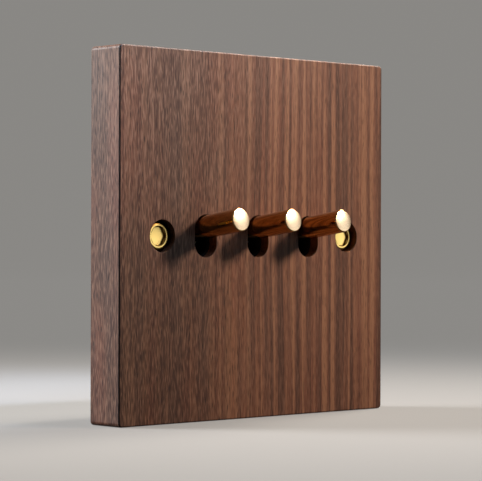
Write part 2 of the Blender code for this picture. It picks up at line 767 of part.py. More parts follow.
def cheese_screw(name, x, z, seat_y, shank_diameter, length, head_diameter, head_height):
    """A slotted cheese-head screw that is driven from behind, towards -Y."""
    screw = turned(
        name,
        [
            (0.0, head_height),
            (head_diameter / 2, head_height),
            (head_diameter / 2, 0.0),
            (shank_diameter / 2, 0.0),
            (shank_diameter / 2, -length),
            (0.0, -length),
        ],
        12,
    )
    aimed(screw, (x, seat_y, z), (0, 1, 0))
    return slotted_head(screw, name, x, z, seat_y + head_height, head_diameter)


def terminal_screw(gang, terminal):
    x, side = terminal_place(gang, terminal)
    seat_y = BLOCK_REAR_Y + SEAT_GAP
    length = seat_y - WIRE_Y - RUN_GAP
    screw = cheese_screw(
        f"{gang}_{terminal}_terminal_screw", x, side * TERMINAL_SCREW_Z, seat_y,
        TERMINAL_SCREW_DIAMETER, length, TERMINAL_HEAD_DIAMETER, TERMINAL_HEAD_HEIGHT,
    )
    return shade(screw, "zinc_steel")


# Housing, base, frame and their screws


def fixing_reliefs(name):
    """Cutters that keep a moulding clear of the fixing screws, whatever its width."""
    return [
        rod(
            f"{name}_fixing_relief_{side}", (x, FRONT_Y, 0), (x, BASE_REAR + OVERCUT, 0),
            FIXING_HEAD_DIAMETER + 2 * SIDE_GAP, 16,
        )
        for side, x in (("left", -FIXING_X), ("right", FIXING_X))
    ]


def terminal_pocket(name, gang, terminal, front_y, rear_y):
    """A cutter around one terminal block, with room on every side."""
    x, side = terminal_place(gang, terminal)
    half = BLOCK_WIDTH / 2 + SEAT_GAP
    ends = sorted((side * POCKET_INNER_Z, side * (BLOCK_OUTER_Z + SEAT_GAP)))
    return block(f"{name}_{gang}_{terminal}", (x - half, front_y, ends[0]), (x + half, rear_y, ends[1]))


def front_housing():
    """The moulding that holds the rockers: a nose in the wood's pocket and a wider body behind the frame."""
    body_x, body_z = BODY_WIDTH / 2, BODY_HEIGHT / 2
    nose_x, nose_z = NOSE_WIDTH / 2, NOSE_HEIGHT / 2
    housing = block(
        "front_housing", (-body_x, BODY_FRONT_Y, -body_z), (body_x, HOUSING_REAR, body_z),
        BODY_CORNER_RADIUS,
    )
    join(housing, block(
        "housing_nose", (-nose_x, NOSE_FRONT_Y, -nose_z), (nose_x, BODY_FRONT_Y + OVERCUT, nose_z),
        BODY_CORNER_RADIUS,
    ))
    for gang in GANG_STEPS:
        x = gang_x(gang)
        inner_z = nose_z - HOUSING_WALL
        cut(housing, stadium(
            f"housing_slot_{gang}", x, LEVER_DIAMETER + 2 * HOUSING_SLOT_SIDE_GAP,
            slot_height(PIVOT_Y - NOSE_FRONT_Y, HOUSING_SLOT_END_GAP),
            NOSE_FRONT_Y - OVERCUT, NOSE_FRONT_Y + HOUSING_WALL + OVERCUT, 5,
        ))
        cut(housing, block(
            f"rocker_chamber_{gang}",
            (x - CHAMBER_WIDTH / 2, NOSE_FRONT_Y + HOUSING_WALL, -inner_z),
            (x + CHAMBER_WIDTH / 2, HOUSING_REAR + OVERCUT, inner_z),
        ))
        for terminal in TERMINALS:
            cut(housing, terminal_pocket(
                "relief", gang, terminal, BODY_FRONT_Y + HOUSING_WALL, HOUSING_REAR + OVERCUT,
            ))
    cut(housing, across(
        "shaft_holes", (0, PIVOT_Y, 0), BODY_WIDTH + 2 * OVERCUT, SHAFT_DIAMETER + 2 * RUN_GAP, 16,
    ))
    cut(housing, *fixing_reliefs("housing"))
    for place, x, z in corner_places(BETWEEN_GANGS_X, HOUSING_SCREW_Z):
        end_y = FRAME_FRONT_Y + HOUSING_SCREW_LENGTH + SEAT_GAP
        cut(housing, rod(
            f"housing_screw_hole_{place}", (x, NOSE_FRONT_Y, z), (x, end_y, z),
            SMALL_SCREW_DIAMETER + 2 * RUN_GAP, 12,
        ))
    for place, x, z in corner_places(BETWEEN_GANGS_X, BASE_SCREW_Z):
        cut(housing, rod(
            f"base_screw_bore_{place}", (x, BASE_SCREW_END_Y, z), (x, HOUSING_REAR + OVERCUT, z),
            SMALL_SCREW_DIAMETER + 2 * RUN_GAP, 12,
        ))
    return shade(housing, "black_plastic")


def terminal_base():
    """The rear moulding: three contact chambers, nine terminal pockets, wire entries and screw wells."""
    half_x, half_z = BODY_WIDTH / 2, BODY_HEIGHT / 2
    base = block(
        "terminal_base", (-half_x, BASE_FRONT_Y, -half_z), (half_x, BASE_REAR, half_z), BODY_CORNER_RADIUS,
    )
    for gang in GANG_STEPS:
        x = gang_x(gang)
        cut(base, block(
            f"contact_chamber_{gang}",
            (x - CHAMBER_WIDTH / 2, BASE_FRONT_Y - OVERCUT, -CHAMBER_HEIGHT / 2),
            (x + CHAMBER_WIDTH / 2, BASE_FLOOR_Y, CHAMBER_HEIGHT / 2),
        ))
        for terminal in TERMINALS:
            cut_terminal_place(base, gang, terminal)
    cut(base, *fixing_reliefs("base"))
    for place, x, z in corner_places(BETWEEN_GANGS_X, BASE_SCREW_Z):
        cut(
            base,
            rod(
                f"base_screw_hole_{place}", (x, BASE_FRONT_Y - OVERCUT, z), (x, BASE_REAR, z),
                SMALL_SCREW_DIAMETER + 2 * RUN_GAP, 12,
            ),
            rod(
                f"base_screw_well_{place}", (x, BASE_SCREW_SEAT_Y - SEAT_GAP, z), (x, BASE_REAR + OVERCUT, z),
                SMALL_HEAD_DIAMETER + 2 * SIDE_GAP, 12,
            ),
        )
    return shade(base, "black_plastic")


def cut_terminal_place(base, gang, terminal):
    """Cuts one terminal's pocket, the channel for its strip, its wire entry and its screw well."""
    x, side = terminal_place(gang, terminal)
    key = f"{gang}_{terminal}"
    pocket_x = BLOCK_WIDTH / 2 + SEAT_GAP
    channel = sorted((side * (CHAMBER_HEIGHT / 2 - OVERCUT), side * (POCKET_INNER_Z + OVERCUT)))
    entry = sorted((side * BLOCK_OUTER_Z, side * (BODY_HEIGHT / 2 + OVERCUT)))
    screw_z = side * TERMINAL_SCREW_Z
    return cut(
        base,
        terminal_pocket("pocket", gang, terminal, BASE_FRONT_Y - OVERCUT, BASE_FLOOR_Y + WELD),
        block(
            f"strip_channel_{key}",
            (x - pocket_x + 2 * WELD, STRIP_FRONT_Y - SEAT_GAP, channel[0]),
            (x + pocket_x - 2 * WELD, BASE_FLOOR_Y - WELD, channel[1]),
        ),
        rod(
            f"wire_entry_{key}", (x, WIRE_Y, entry[0]), (x, WIRE_Y, entry[1]), WIRE_ENTRY_DIAMETER, 12,
        ),
        rod(
            f"screw_well_{key}", (x, BASE_FLOOR_Y - OVERCUT, screw_z), (x, BASE_REAR + OVERCUT, screw_z),
            TERMINAL_HEAD_DIAMETER + 2 * SIDE_GAP, 16,
        ),
    )


def mounting_frame():
    """The stamped steel frame in the plate's rebate, with countersunk holes towards both faces."""
    half_x, half_z = FRAME_WIDTH / 2, FRAME_HEIGHT / 2
    frame = block(
        "mounting_frame", (-half_x, FRAME_FRONT_Y, -half_z), (half_x, FRAME_REAR_Y, half_z),
        FRAME_CORNER_RADIUS,
    )
    window_x, window_z = NOSE_WIDTH / 2 + SEAT_GAP, NOSE_HEIGHT / 2 + SEAT_GAP
    cut(frame, block(
        "frame_window", (-window_x, FRAME_FRONT_Y - OVERCUT, -window_z),
        (window_x, FRAME_REAR_Y + OVERCUT, window_z), BODY_CORNER_RADIUS,
    ))
    for side, x in (("left", -FIXING_X), ("right", FIXING_X)):
        cut(frame, rod(
            f"frame_hole_{side}", (x, FRAME_FRONT_Y - OVERCUT, 0), (x, FRAME_REAR_Y + OVERCUT, 0),
            FIXING_DIAMETER + 2 * SIDE_GAP, 16,
        ))
    for place, x, z in corner_places(FRAME_SCREW_X, FRAME_SCREW_Z):
        cut(frame, countersink(
            f"wood_countersink_{place}", x, z, FRAME_REAR_Y, 1, WOOD_HEAD_DIAMETER, WOOD_SCREW_DIAMETER,
        ))
    for place, x, z in corner_places(BETWEEN_GANGS_X, HOUSING_SCREW_Z):
        cut(frame, countersink(
            f"housing_countersink_{place}", x, z, FRAME_FRONT_Y, -1, SMALL_HEAD_DIAMETER,
            SMALL_SCREW_DIAMETER,
        ))
    return shade(frame, "zinc_steel")


def countersink(name, x, z, face_y, outward, head_diameter, shank_diameter):
    """A cone through the frame: head_diameter at face_y, narrowing to the shank's hole at the far face."""
    far_y = face_y - outward * FRAME_THICKNESS
    wide = head_diameter + 2 * SIDE_GAP
    narrow = shank_diameter + 2 * SIDE_GAP
    slope = (wide - narrow) / FRAME_THICKNESS
    past = SEAT_GAP
    return rod(
        name, (x, face_y + outward * past, z), (x, far_y - outward * past, z),
        wide + slope * past, 12, end_diameter=narrow - slope * past,
    )


def flat_screw(name, x, z, face_y, outward, shank_diameter, length, head_diameter, finish_name):
    """A countersunk screw, its flat face just below face_y and looking outward along Y."""
    head = head_diameter / 2
    shank = shank_diameter / 2
    cone = FRAME_THICKNESS - SEAT_GAP
    screw = turned(
        name,
        [(0.0, 0.0), (head, 0.0), (shank, -cone), (shank, -length + shank), (0.0, -length)],
        12,
    )
    seat_y = face_y - outward * RUN_GAP
    aimed(screw, (x, seat_y, z), (0, outward, 0))
    half = head_diameter
    low_y, high_y = sorted((seat_y - outward * DRIVE_DEPTH / 2, seat_y + outward * OVERCUT))
    cut(screw, block(
        f"drive_slot_{name}", (x - half, low_y, z - DRIVE_WIDTH / 2), (x + half, high_y, z + DRIVE_WIDTH / 2),
    ))
    return shade(screw, finish_name)


def pivot_shaft():
    return shade(
        across("pivot_shaft", (0, PIVOT_Y, 0), SHAFT_LENGTH, SHAFT_DIAMETER, 16), "zinc_steel"
    )


def frame_screws():
    for place, x, z in corner_places(FRAME_SCREW_X, FRAME_SCREW_Z):
        flat_screw(
            f"frame_screw_{place}", x, z, FRAME_REAR_Y, 1, WOOD_SCREW_DIAMETER, WOOD_SCREW_LENGTH,
            WOOD_HEAD_DIAMETER, "zinc_steel",
        )
    for place, x, z in corner_places(BETWEEN_GANGS_X, HOUSING_SCREW_Z):
        flat_screw(
            f"housing_screw_{place}", x, z, FRAME_FRONT_Y, -1, SMALL_SCREW_DIAMETER, HOUSING_SCREW_LENGTH,
            SMALL_HEAD_DIAMETER, "zinc_steel",
        )


def base_screws():
    for place, x, z in corner_places(BETWEEN_GANGS_X, BASE_SCREW_Z):
        screw = cheese_screw(
            f"base_screw_{place}", x, z, BASE_SCREW_SEAT_Y, SMALL_SCREW_DIAMETER,
            BASE_SCREW_LENGTH, SMALL_HEAD_DIAMETER, BASE_HEAD_HEIGHT - SEAT_GAP,
        )
        shade(screw, "zinc_steel")


def build_switch():
    face_plate()
    fixing_screw("left", -FIXING_X)
    fixing_screw("right", FIXING_X)
    mounting_frame()
    front_housing()
    pivot_shaft()
    terminal_base()
    frame_screws()
    base_screws()
    for gang in GANG_STEPS:
        moving_gang(gang)
        switched_contact(gang, "upper")
        switched_contact(gang, "lower")
        common_contact(gang)
        for terminal in TERMINALS:
            terminal_screw(gang, terminal)


build_switch()
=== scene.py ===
# %% [markdown]
# # A walnut and brass toggle switch
# The real switch is a square of solid walnut with three turned brass levers. Behind it are a
# stamped steel frame and a black moulded mechanism. The CAD frame is loaded first and never moves:
# every piece made here takes its place from it, and rides on one of its bodies.

# %% Load the frame
import json
import math

import bmesh
import bpy
from mathutils import Matrix, Vector

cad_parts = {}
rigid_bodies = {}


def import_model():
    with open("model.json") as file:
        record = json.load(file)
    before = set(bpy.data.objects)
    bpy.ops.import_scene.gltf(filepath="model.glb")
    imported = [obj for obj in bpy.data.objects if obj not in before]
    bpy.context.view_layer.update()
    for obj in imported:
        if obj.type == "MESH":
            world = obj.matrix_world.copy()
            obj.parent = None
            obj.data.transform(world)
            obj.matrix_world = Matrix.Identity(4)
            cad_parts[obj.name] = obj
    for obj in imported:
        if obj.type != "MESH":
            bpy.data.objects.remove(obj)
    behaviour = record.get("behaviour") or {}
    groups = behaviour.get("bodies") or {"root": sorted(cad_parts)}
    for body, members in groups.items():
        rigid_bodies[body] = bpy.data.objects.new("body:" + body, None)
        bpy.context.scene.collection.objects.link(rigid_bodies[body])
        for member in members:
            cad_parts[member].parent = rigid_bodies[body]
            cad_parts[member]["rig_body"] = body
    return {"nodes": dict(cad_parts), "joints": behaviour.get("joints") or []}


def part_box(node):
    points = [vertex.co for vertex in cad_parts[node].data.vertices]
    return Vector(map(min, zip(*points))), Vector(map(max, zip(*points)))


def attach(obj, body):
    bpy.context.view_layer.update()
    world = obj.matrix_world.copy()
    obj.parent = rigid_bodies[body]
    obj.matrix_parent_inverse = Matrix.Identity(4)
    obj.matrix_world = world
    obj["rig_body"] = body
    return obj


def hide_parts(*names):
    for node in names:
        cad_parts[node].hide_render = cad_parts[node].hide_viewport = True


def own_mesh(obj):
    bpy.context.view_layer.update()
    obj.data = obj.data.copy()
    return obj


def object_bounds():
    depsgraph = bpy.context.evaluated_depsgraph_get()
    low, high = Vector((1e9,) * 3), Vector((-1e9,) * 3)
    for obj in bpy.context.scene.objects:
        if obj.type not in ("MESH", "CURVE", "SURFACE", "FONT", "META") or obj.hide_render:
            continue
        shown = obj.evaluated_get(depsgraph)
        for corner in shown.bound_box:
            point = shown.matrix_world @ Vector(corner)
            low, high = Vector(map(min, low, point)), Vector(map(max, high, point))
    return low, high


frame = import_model()
CAD_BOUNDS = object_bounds()
MM = 0.001
GANGS = ("left", "centre", "right")
TERMINALS = ("upper", "lower", "common")
CORNERS = tuple(f"{row}_{column}" for row in ("top", "bottom") for column in ("left", "right"))
JOINTS = {joint["name"]: joint for joint in frame["joints"]}
SCENE = bpy.context.scene
print("CAD size in mm:", [round((high - low) / MM, 2) for low, high in zip(*CAD_BOUNDS)])

# %% [markdown]
# ## The camera
# A long lens, half a metre away, keeps the plate's edges nearly parallel. It looks level, 43 degrees
# round to the left, so the plate's left edge shows and the levers stand out against the wood.
# Its matrix is built from three plain turns: round the object, up or down, and level.

# %% Camera
CAMERA_PLACE = Vector((-345.3, -370.2, -1.4)) * MM
CAMERA_AZIMUTH = -43.32  # degrees round from straight in front
CAMERA_ELEVATION = -0.05
CAMERA_ROLL = 0.16
LENS_MM = 156.85
SENSOR_MM = 36.0

camera_data = bpy.data.cameras.new("camera")
camera_data.lens = LENS_MM
camera_data.sensor_width = SENSOR_MM
camera = bpy.data.objects.new("camera", camera_data)
SCENE.collection.objects.link(camera)
camera.matrix_world = (
    Matrix.Translation(CAMERA_PLACE)
    @ Matrix.Rotation(math.radians(CAMERA_AZIMUTH), 4, "Z")
    @ Matrix.Rotation(math.radians(90 - CAMERA_ELEVATION), 4, "X")
    @ Matrix.Rotation(math.radians(CAMERA_ROLL), 4, "Z")
)
SCENE.camera = camera
print("camera", round(CAMERA_PLACE.length / MM), "mm from the middle of the wall plane")

# %% [markdown]
# ## Colours and nodes
# Colour pickers give sRGB values, but light adds up in linear ones, so every hex colour goes through
# one function. Another adds a shader node with its settings and gives back the output that is wanted,
# so a long material reads as a list of what goes into what. Noise is stretched to sizes in real
# millimetres, and many finishes let one such noise sway both their colour and their gloss.

# %% Colour and node helpers


def linear(code):
    """A six-digit sRGB hex colour as linear RGBA."""
    channels = [int(code[i : i + 2], 16) / 255 for i in (0, 2, 4)]
    return (*[c / 12.92 if c <= 0.04045 else ((c + 0.055) / 1.055) ** 2.4 for c in channels], 1.0)


def feed(node, inputs):
    """Gives a node's sockets their values, or links them to other nodes' outputs."""
    for socket, value in inputs.items():
        if isinstance(value, bpy.types.NodeSocket):
            node.id_data.links.new(value, node.inputs[socket])
        else:
            node.inputs[socket].default_value = value


def add(tree, kind, inputs=None, output=0, **settings):
    """One output of a new node, with its settings and what goes into it."""
    node = tree.nodes.new(f"ShaderNode{kind}")
    for name, value in settings.items():
        setattr(node, name, value)
    feed(node, inputs or {})
    return node.outputs[output]


def material(name, **values):
    """A new material, its node tree and its Principled BSDF, with that shader's sockets set."""
    made = bpy.data.materials.new(name)
    made.use_nodes = True
    surface = made.node_tree.nodes["Principled BSDF"]
    feed(surface, {socket.replace("_", " "): value for socket, value in values.items()})
    return made, made.node_tree, surface


def stretched(tree, place, size, detail=2.0):
    """A noise value from 0 to 1 whose grains are size long in millimetres along X, Y and Z."""
    scale = [1 / (MM * side) for side in size]
    scaled = add(tree, "VectorMath", {0: place, 1: scale}, operation="MULTIPLY")
    return add(tree, "TexNoise", {"Vector": scaled, "Scale": 1.0, "Detail": detail})


def sway(tree, surface, pattern, colours, gloss, start=0.40, full=0.65):
    """Lets a pattern from 0 to 1 lead the surface from one colour and roughness to another."""
    amount = add(tree, "MapRange", {"Value": pattern, "From Min": start, "From Max": full})
    near, far = (linear(code) for code in colours)
    smoothest, roughest = gloss
    dullness = {"Value": pattern, "From Min": 0.3, "From Max": 0.7, "To Min": smoothest, "To Max": roughest}
    feed(surface, {
        "Base Color": add(tree, "Mix", {0: amount, 6: near, 7: far}, 2, data_type="RGBA"),
        "Roughness": add(tree, "MapRange", dullness),
    })


# %% [markdown]
# ## The studio
# The floor is a pale matt bowl: a disc that curves up into a wall all round, so there is no hard line
# at its back from any side. The main light is small and close, up and to the right, because the
# levers throw soft shadows down to the left. Two cards beside it, which only the brass mirrors, give
# the levers' flat ends and the screws' sockets something bright to show. A light behind on the left
# skims the plate's edge, one high on the right draws a line along the top arris, and a narrow cool
# one above makes the top of the plate brighter than its foot.

# %% Floor
FLOOR_Z = CAD_BOUNDS[0][2] - 0.05 * MM
SWEEP_REACH = 1.8
SWEEP_RADIUS = 0.5
SWEEP_STEPS, SWEEP_SIDES = 16, 96


def floor_sweep():
    """A wide disc whose rim curves up into a wall."""
    bend = [math.pi / 2 * step / SWEEP_STEPS for step in range(SWEEP_STEPS + 1)]
    profile = [(SWEEP_REACH + SWEEP_RADIUS * math.sin(a), SWEEP_RADIUS * (1 - math.cos(a))) for a in bend]
    profile.append((SWEEP_REACH + SWEEP_RADIUS, SWEEP_REACH))
    around = [2 * math.pi * side / SWEEP_SIDES for side in range(SWEEP_SIDES)]
    shape = bmesh.new()
    rings = [
        [shape.verts.new((reach * math.cos(a), reach * math.sin(a), FLOOR_Z + z)) for a in around]
        for reach, z in profile
    ]
    shape.faces.new(rings[0])
    for low, high in zip(rings, rings[1:]):
        for i in range(SWEEP_SIDES):
            shape.faces.new((low[i], low[i - 1], high[i - 1], high[i]))
    mesh = bpy.data.meshes.new("floor")
    shape.to_mesh(mesh)
    shape.free()
    mesh.shade_smooth()
    paper, tree, surface = material(
        "pale_paper", Base_Color=linear("6C6A68"), Roughness=0.85, Emission_Color=linear("D9D6D1"),
        Emission_Strength=0.36,
    )
    place = add(tree, "TexCoord", output="Object")
    tooth = stretched(tree, place, (1.2, 1.2, 1.2), 3.0)
    feed(surface, {"Normal": add(tree, "Bump", {"Height": tooth, "Distance": 0.02 * MM})})
    mesh.materials.append(paper)
    sweep = bpy.data.objects.new("floor", mesh)
    SCENE.collection.objects.link(sweep)
    # The paper throws no brightness back, so the plate's foot and the brass stay dark
    sweep.visible_diffuse = False
    sweep.visible_glossy = False
    sweep.visible_shadow = False


floor_sweep()
print("floor at", round(FLOOR_Z / MM, 2), "mm")

# %% Lights


def soft_light(name, azimuth, elevation, distance, width, height, watts, colour, aim_z=0.0, spread=180,
               mirrored_only=False):
    """A rectangular light, with its angles as seen from the middle of the plate, aimed aim_z mm above
    that. A spread below 180 degrees is a honeycomb over its front, which keeps its light off what is
    beside. A mirrored_only light is a card that shows in glossy surfaces but doesn't light matt ones."""
    data = bpy.data.lights.new(name, "AREA")
    data.shape = "RECTANGLE"
    data.size = width
    data.size_y = height
    data.energy = watts
    data.color = linear(colour)[:3]
    data.spread = math.radians(spread)
    light = bpy.data.objects.new(name, data)
    SCENE.collection.objects.link(light)
    a, e = math.radians(azimuth), math.radians(elevation)
    away = Vector((math.sin(a) * math.cos(e), -math.cos(a) * math.cos(e), math.sin(e)))
    light.location = away * distance
    light.rotation_mode = "QUATERNION"
    light.rotation_quaternion = (light.location - Vector((0, 0, aim_z * MM))).to_track_quat("Z", "Y")
    light.visible_camera = False
    light.visible_diffuse = not mirrored_only


soft_light("key", 40, 26, 0.50, 0.08, 0.08, 0.238, "FFE4CE", aim_z=16, spread=60)
soft_light("card", 46, 6, 0.90, 0.50, 0.42, 0.15, "FFFAF2", mirrored_only=True)
soft_light("low_card", 41, -1, 0.28, 0.16, 0.070, 0.036, "FFF8EC", mirrored_only=True)
soft_light("edge", 222, 32, 0.70, 0.30, 0.50, 1.40, "F4F5F8", aim_z=85, spread=45)
soft_light("rim", 96, 46, 0.60, 0.25, 0.25, 0.36, "FFF6EA", spread=40)
soft_light("top", 24, 60, 0.30, 0.26, 0.03, 0.100, "CFE2FF", aim_z=75, spread=20)
room = bpy.data.worlds.new("studio")
room.use_nodes = True
feed(room.node_tree.nodes["Background"], {"Color": linear("E6E8EC"), "Strength": 0.13})
# The room is only seen in the brass and the zinc: it doesn't fill the wood's shadows
room.cycles_visibility.diffuse = False
SCENE.world = room
SCENE.view_settings.view_transform = "Standard"

# %% [markdown]
# ## Making solids
# Every piece starts as a bmesh: a slab with rounded corners, or a profile turned about an axis, as on
# a lathe. Holes are cut with Booleans, which behave like a drill or a router. Last, the edges are
# rounded a little, since no real edge is perfectly sharp: the thin highlight along it is what makes a
# solid look real. A weighted-normal modifier then keeps the flat faces flat in the light.

# %% Slabs and turned shapes


def slab(low, high, radius=0.0, steps=8):
    """A box between two corners; radius rounds the four edges that run along Y."""
    low, high = Vector(low), Vector(high)
    shape = bmesh.new()
    bmesh.ops.create_cube(shape, size=1.0)
    bmesh.ops.scale(shape, vec=high - low, verts=shape.verts)
    bmesh.ops.translate(shape, vec=(low + high) / 2, verts=shape.verts)
    if radius:
        corners = [edge for edge in shape.edges if abs((edge.verts[0].co - edge.verts[1].co).y) > 0]
        bmesh.ops.bevel(
            shape, geom=corners, offset=radius, segments=steps, profile=0.5, affect="EDGES",
            clamp_overlap=True,
        )
    return shape


def turned(profile, steps, radius_at=None):
    """A solid turned about Z from (radius, height) points, first and last on the axis.
    radius_at(radius, height, angle) may change a radius as the work turns, as a thread does."""
    shape = bmesh.new()
    rings = []
    for radius, height in profile:
        ring = []
        for step in range(steps if radius else 1):
            angle = 2 * math.pi * step / steps
            reach = radius_at(radius, height, angle) if radius_at else radius
            ring.append(shape.verts.new((reach * math.cos(angle), reach * math.sin(angle), height)))
        rings.append(ring)
    for upper, lower in zip(rings, rings[1:]):
        for i in range(steps):
            above = [upper[j % len(upper)] for j in (i, i + 1)]
            below = [lower[j % len(lower)] for j in (i + 1, i)]
            shape.faces.new(list(dict.fromkeys(above + below)))
    return shape


def drill(start, end, diameter, steps=48, end_diameter=None):
    """A cutter from one point to another; a cone if end_diameter is given."""
    start, end = Vector(start), Vector(end)
    near = diameter / 2
    far = near if end_diameter is None else end_diameter / 2
    length = (end - start).length
    shape = turned([(0.0, 0.0), (near, 0.0), (far, length), (0.0, length)], steps)
    aim = (end - start).to_track_quat("Z", "X").to_matrix().to_4x4()
    bmesh.ops.transform(shape, matrix=Matrix.Translation(start) @ aim, verts=shape.verts)
    return shape


# %% Cutting, easing and placing
EASE_ANGLE = math.radians(30)
SHARP_ANGLE = math.radians(40)


def carved(shape, *cutters):
    """The shape with the cutters taken out of it, one after another."""
    helpers = []
    for i, source in enumerate((shape, *cutters)):
        bmesh.ops.recalc_face_normals(source, faces=source.faces)
        mesh = bpy.data.meshes.new(f"helper_{i}")
        source.to_mesh(mesh)
        source.free()
        helper = bpy.data.objects.new(mesh.name, mesh)
        SCENE.collection.objects.link(helper)
        helpers.append(helper)
    blank = helpers[0]
    for tool in helpers[1:]:
        step = blank.modifiers.new("Cut", "BOOLEAN")
        step.operation = "DIFFERENCE"
        step.solver = "EXACT"
        step.object = tool
    bpy.context.view_layer.update()
    result = bmesh.new()
    result.from_object(blank, bpy.context.evaluated_depsgraph_get())
    for helper in helpers:
        bpy.data.objects.remove(helper)
    return result


def eased(shape, width, steps=2, chosen=None):
    """Rounds the shape's sharp edges, or those of them that are chosen."""
    shape.normal_update()
    sharp = [
        edge
        for edge in shape.edges
        if len(edge.link_faces) == 2
        and edge.calc_face_angle(0.0) > EASE_ANGLE
        and (chosen is None or chosen((edge.verts[0].co + edge.verts[1].co) / 2))
    ]
    bmesh.ops.bevel(
        shape, geom=sharp, offset=width, segments=steps, profile=0.5, affect="EDGES", clamp_overlap=True
    )
    return shape


def piece(name, shape, finish, node, place=None, weighted=True):
    """A finished piece that stands for a CAD node and rides on that node's body."""
    bmesh.ops.recalc_face_normals(shape, faces=shape.faces)
    for face in shape.faces:
        face.smooth = True
    for edge in shape.edges:
        edge.smooth = len(edge.link_faces) != 2 or edge.calc_face_angle(0.0) < SHARP_ANGLE
    mesh = bpy.data.meshes.new(name)
    shape.to_mesh(mesh)
    shape.free()
    mesh.materials.append(finish)
    made = bpy.data.objects.new(name, mesh)
    SCENE.collection.objects.link(made)
    if place:
        made.matrix_world = place
    if weighted:
        normals = made.modifiers.new("Flat faces stay flat", "WEIGHTED_NORMAL")
        normals.keep_sharp = True
    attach(made, frame["nodes"][node]["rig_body"])
    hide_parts(node)
    return made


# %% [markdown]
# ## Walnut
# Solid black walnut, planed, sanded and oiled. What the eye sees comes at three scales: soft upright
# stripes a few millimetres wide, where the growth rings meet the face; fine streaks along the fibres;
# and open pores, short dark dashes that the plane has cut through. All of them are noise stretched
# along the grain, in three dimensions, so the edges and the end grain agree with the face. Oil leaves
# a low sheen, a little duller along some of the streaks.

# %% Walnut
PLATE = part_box("face_plate")
# Layers of the grain: size in mm across the face, through the board and up the grain, and octaves of
# detail. The growth rings run through the board, so their bands are deep as well as tall.
GRAIN_LAYERS = {
    "patches": (9.0, 9.0, 50.0, 1.0),
    "bands": (1.4, 14.0, 120.0, 1.0),
    "streaks": (0.36, 0.50, 16.0, 1.5),
    "fibres": (0.24, 0.24, 2.6, 1.0),
}
# Open pores: spacing across and along the grain in mm, drawn about twice as coarse as real ones
PORES = (0.62, 3.4)
# The board's growth across its face, from its left edge, 0, to its right edge, 1: close and dark on the
# left, open and paler from the middle on, with two pale rings where the one turns into the other. The
# left is darker partly for its close growth and partly as painted shade, where less of the main lamp's
# light reaches
CLOSE_GROWTH_AND_SHADE, TURNING_GROWTH, PALE_RING, OPEN_GROWTH = "4E3024", "6C4431", "88583F", "7E513B"
BOARD_COLOURS = {
    0.00: CLOSE_GROWTH_AND_SHADE,
    0.20: CLOSE_GROWTH_AND_SHADE,
    0.35: TURNING_GROWTH,
    0.39: TURNING_GROWTH,
    0.41: PALE_RING,
    0.43: TURNING_GROWTH,
    0.45: PALE_RING,
    0.47: TURNING_GROWTH,
    0.50: OPEN_GROWTH,
    1.00: OPEN_GROWTH,
}
# What the layers do: layer, its value where the tint starts and where it is full, tint, and how
# strong it is on the left and on the right of the board
GRAIN_TINTS = (
    ("patches", 0.50, 0.70, "74402F", 0.45, 0.35),
    ("patches", 0.48, 0.30, "6B5549", 0.40, 0.20),
    ("bands", 0.52, 0.64, "43261A", 0.30, 0.75),
    ("bands", 0.48, 0.36, "AC8060", 0.15, 0.60),
    ("streaks", 0.52, 0.68, "35201A", 0.30, 0.22),
    ("streaks", 0.48, 0.32, "A07760", 0.22, 0.20),
    ("fibres", 0.50, 0.66, "2A1813", 0.50, 0.28),
    ("fibres", 0.50, 0.34, "AB866F", 0.34, 0.20),
)
PORE_TINT = "1E120E"
PORE_EDGE, PORE_HEART = 0.28, 0.12  # how near a pore's middle its darkness starts and is full
PORE_LEFT, PORE_RIGHT = 0.75, 0.40
# Painted shade on the upright arrises: its near-black tint and how strong it is
ARRIS_SHADE_TINT, ARRIS_SHADE = "150D0A", 0.9
TURN_START, TURN_FULL = 0.08, 0.32
OIL_GLOSS = (0.46, 0.60)
GRAIN_RELIEF = 0.025 * MM
# The fibres wander this many mm to each side, over lengths of so many mm, on their way up the board
WANDER, WANDER_LENGTHS = 2.5, (45.0, 45.0, 60.0)
# Where, from its left edge to its right, the board's close dark growth gives way to its open stripes
OPENING = (0.30, 0.55)


